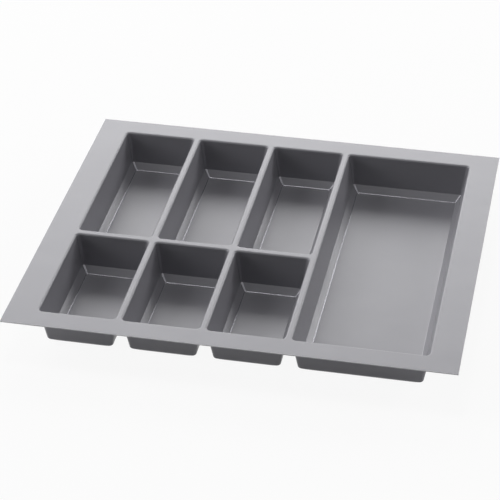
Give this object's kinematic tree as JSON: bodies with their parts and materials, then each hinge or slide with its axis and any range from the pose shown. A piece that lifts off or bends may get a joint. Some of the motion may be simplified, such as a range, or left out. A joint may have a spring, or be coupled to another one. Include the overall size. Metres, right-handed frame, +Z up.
{
  "type": "cutlery tray",
  "caption": "Drawer insert formed from one thin grey plastic sheet: a flat rim with drafted compartments, rolled at the mouth and chamfered at the floor, for cutlery and kitchen tools.",
  "frame": {"origin": "middle of the tray in plan, on the plane of the well bottoms that rests on the drawer's floor", "axes": "+X to the right across the width, +Y towards the back of the drawer, +Z up"},
  "size_m": [0.52, 0.4736, 0.049],
  "materials": {
    "tray_plastic": "satin"
  },
  "bodies": {
    "root": {"deck": "tray_plastic", "long_well_left": "tray_plastic", "short_well_left": "tray_plastic", "long_well_middle": "tray_plastic", "short_well_middle": "tray_plastic", "long_well_right": "tray_plastic", "short_well_right": "tray_plastic", "wide_well": "tray_plastic"}
  },
  "joints": []
}
